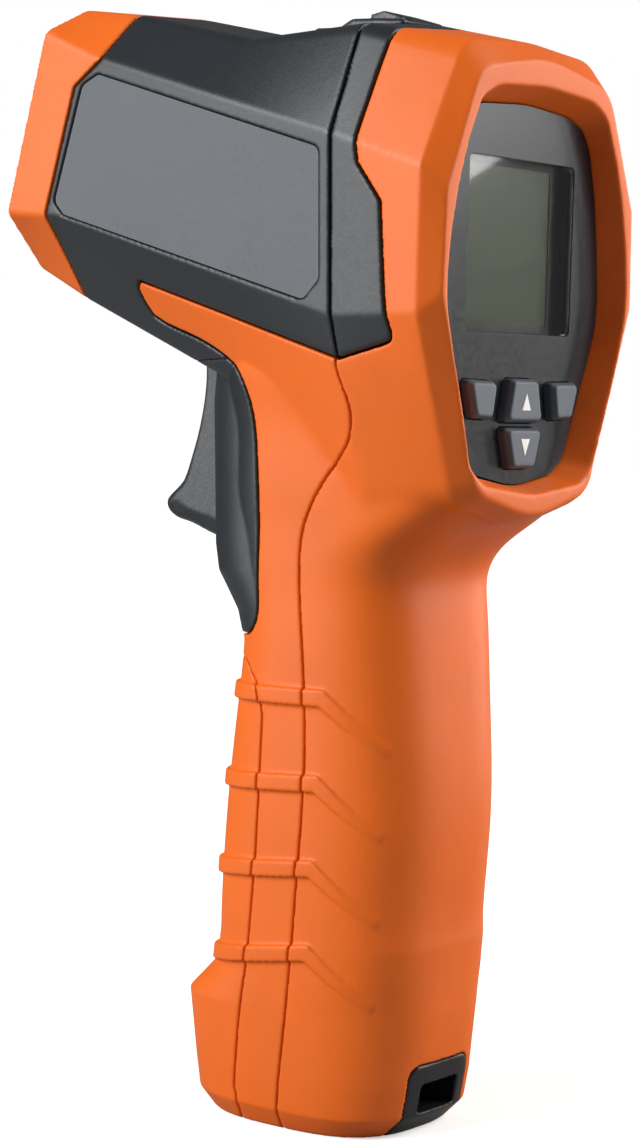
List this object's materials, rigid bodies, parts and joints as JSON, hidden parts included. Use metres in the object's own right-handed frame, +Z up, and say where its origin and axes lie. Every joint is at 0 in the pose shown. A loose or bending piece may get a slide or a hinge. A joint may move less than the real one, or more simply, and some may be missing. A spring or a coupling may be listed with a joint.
{
  "type": "infrared thermometer",
  "caption": "Pistol-grip infrared thermometer with a faceted barrel, hooded display, keys, trigger, hinged battery door in the grip and a thermocouple socket in the base.",
  "frame": {"origin": "on the flat base of the grip, on the plane of symmetry, under the middle of the battery compartment", "axes": "+Z up along the grip, -X towards the nose and lens, +X towards the display, +Y towards the tool's right side"},
  "size_m": [0.0993, 0.055, 0.189],
  "materials": {
    "orange_shell": "satin moulded housing plastic, fine grain",
    "black_shell": "satin moulded housing plastic, dark grey to black",
    "label_plate": "matt printed plate, left blank",
    "panel_black": "satin dark grey panel",
    "key_grey": "matt grey key caps",
    "clear_window": "clear moulded display window",
    "lcd_face": "grey-green liquid crystal display, nothing shown on it",
    "white_plastic": "white backlight tray",
    "silicone": "moulded silicone",
    "circuit_board": "green solder mask",
    "component_black": "moulded component bodies",
    "steel": "plated steel",
    "brass": "bare brass",
    "optic_black": "black anodised aluminium",
    "infrared_lens": "dark infrared lens",
    "battery_jacket": "plain battery jacket, unprinted",
    "lead_insulation": "insulated hook-up wire"
  },
  "bodies": {
    "housing": {"nose_ring": "orange_shell", "barrel_shell": "black_shell", "trigger_guard": "black_shell", "front_grip_shell": "orange_shell", "rear_shell": "orange_shell", "rear_band": "black_shell", "label_plate_left": "label_plate", "label_plate_right": "label_plate", "top_sight": "black_shell", "base_insert": "black_shell", "thermocouple_contacts": "brass", "housing_screws": "steel", "door_hinge_pins": "steel", "front_plate": "black_shell", "lens": "infrared_lens", "lens_retainer": "black_shell", "optic_tube": "optic_black", "optics_bracket": "component_black", "laser_module_upper": "brass", "laser_module_lower": "brass", "thermopile_sensor": "steel", "sensor_board": "circuit_board", "sensor_spacers": "component_black", "sensor_leads": "lead_insulation", "control_panel": "panel_black", "display_window": "clear_window", "lcd_glass": "lcd_face", "lcd_frame": "white_plastic", "contact_strips": "silicone", "keypad_mat": "silicone", "main_board": "circuit_board", "board_components": "component_black", "board_screws": "steel", "buzzer": "component_black", "trigger_pin": "steel", "trigger_spring": "steel", "trigger_switch": "component_black", "switch_board": "circuit_board", "battery": "battery_jacket", "battery_snap": "component_black", "battery_tray": "component_black", "battery_leads": "lead_insulation"},
    "trigger": {"trigger": "black_shell"},
    "battery_door": {"battery_door": "orange_shell"},
    "key_mode": {"key_mode": "key_grey"},
    "key_set": {"key_set": "key_grey"},
    "key_up": {"key_up": "key_grey"},
    "key_down": {"key_down": "key_grey"}
  },
  "joints": [
    {"name": "trigger_pull", "type": "hinge", "parent": "housing", "child": "trigger", "pos_m": [-0.0126, 0, 0.1233], "axis": [0, -1, 0], "range_deg": [0, 9], "stiffness_Nm_per_rad": 0.15, "springref_deg": -5.73, "deforming": ["trigger_spring"]},
    {"name": "battery_door_hinge", "type": "hinge", "parent": "housing", "child": "battery_door", "pos_m": [-0.0125, 0, 0.0033], "axis": [0, -1, 0], "range_deg": [0, 75]},
    {"name": "key_mode_press", "type": "slide", "parent": "housing", "child": "key_mode", "axis": [-0.9993, 0, 0.0366], "range_m": [0, 0.0008], "stiffness_N_per_m": 400, "springref_m": -0.001},
    {"name": "key_set_press", "type": "slide", "parent": "housing", "child": "key_set", "axis": [-0.9993, 0, 0.0366], "range_m": [0, 0.0008], "stiffness_N_per_m": 400, "springref_m": -0.001},
    {"name": "key_up_press", "type": "slide", "parent": "housing", "child": "key_up", "axis": [-0.9993, 0, 0.0366], "range_m": [0, 0.0008], "stiffness_N_per_m": 400, "springref_m": -0.001},
    {"name": "key_down_press", "type": "slide", "parent": "housing", "child": "key_down", "axis": [-0.9993, 0, 0.0366], "range_m": [0, 0.0008], "stiffness_N_per_m": 400, "springref_m": -0.001}
  ]
}
